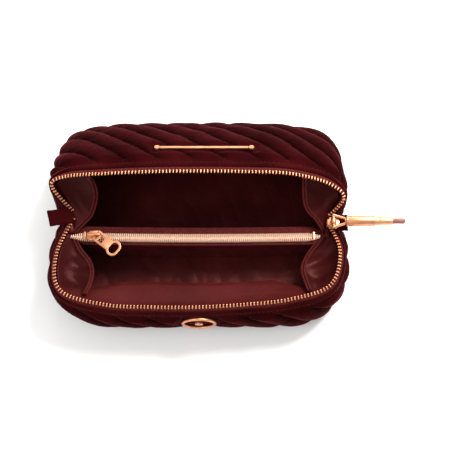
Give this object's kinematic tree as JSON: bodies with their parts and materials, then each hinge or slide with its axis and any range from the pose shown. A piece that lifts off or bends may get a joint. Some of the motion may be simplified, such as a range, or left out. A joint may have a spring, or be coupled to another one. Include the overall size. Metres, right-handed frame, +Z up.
{
  "type": "makeup bag",
  "caption": "Soft quilted zip-top bag standing open on a flat base, with a zipped divider pocket inside and a tube-shaped charm on the puller.",
  "frame": {"origin": "centre of the flat base, on the surface the bag stands on", "axes": "+X along the bag towards the puller, +Y towards the back panel, +Z up"},
  "size_m": [0.2726, 0.1652, 0.0851],
  "materials": {
    "velvet": "satin",
    "lining": "satin",
    "tape": "matte",
    "wadding": "matte",
    "board": "matte",
    "rose_gold": "polished",
    "charm_tip": "gloss"
  },
  "bodies": {
    "root": {"base_panel": "velvet", "base_board": "board", "base_lining": "lining", "front_velvet_lower": "velvet", "front_wadding_lower": "wadding", "front_lining_lower": "lining", "back_velvet_lower": "velvet", "back_wadding_lower": "wadding", "back_lining_lower": "lining", "zip_end_left": "tape", "zip_end_right": "tape", "tab_left": "velvet", "tab_right": "velvet", "pocket_front": "lining", "pocket_back": "lining", "pocket_floor": "lining", "pocket_tape_front": "tape", "pocket_tape_back": "tape", "pocket_coil": "rose_gold", "pocket_stop_left": "rose_gold", "pocket_stop_right": "rose_gold"},
    "front_flap": {"front_velvet_upper": "velvet", "front_wadding_upper": "wadding", "front_lining_upper": "lining", "front_hem": "velvet", "front_tape": "tape", "front_teeth": "rose_gold", "emblem_ring": "rose_gold", "emblem_stud": "rose_gold"},
    "back_flap": {"back_velvet_upper": "velvet", "back_wadding_upper": "wadding", "back_lining_upper": "lining", "back_hem": "velvet", "back_tape": "tape", "back_teeth": "rose_gold", "crest_bar": "rose_gold"},
    "main_slider": {"main_slider": "rose_gold", "main_slider_bridge": "rose_gold"},
    "puller": {"puller_stirrup": "rose_gold", "charm_cap": "rose_gold", "charm_barrel": "rose_gold", "charm_collar": "rose_gold", "charm_sleeve": "rose_gold", "charm_bullet": "charm_tip"},
    "pocket_slider": {"pocket_slider": "rose_gold", "pocket_slider_bridge": "rose_gold"},
    "pocket_pull": {"pocket_pull": "rose_gold"}
  },
  "joints": [
    {"name": "mouth_front", "type": "hinge", "parent": "root", "child": "front_flap", "pos_m": [0, -0.018, 0.03], "axis": [-1, 0, 0], "range_deg": [0, 84]},
    {"name": "mouth_back", "type": "hinge", "parent": "root", "child": "back_flap", "pos_m": [0, -0.004, 0.043], "axis": [1, 0, 0], "range_deg": [0, 20]},
    {"name": "main_slide", "type": "slide", "parent": "root", "child": "main_slider", "axis": [-1, 0, 0], "range_m": [0, 0.008]},
    {"name": "puller_hinge", "type": "hinge", "parent": "main_slider", "child": "puller", "pos_m": [0.1015, -0.011, 0.0528], "axis": [0, -1, 0], "range_deg": [-5, 60]},
    {"name": "pocket_slide", "type": "slide", "parent": "root", "child": "pocket_slider", "axis": [1, 0, 0], "range_m": [0, 0.16]},
    {"name": "pocket_pull_hinge", "type": "hinge", "parent": "pocket_slider", "child": "pocket_pull", "pos_m": [-0.0784, -0.019, 0.04335], "axis": [-0.6157, -0.788, 0], "range_deg": [0, 100]}
  ],
  "couplings": [
    {"joint": "mouth_back", "follows": "mouth_front", "ratio": 0.238}
  ]
}
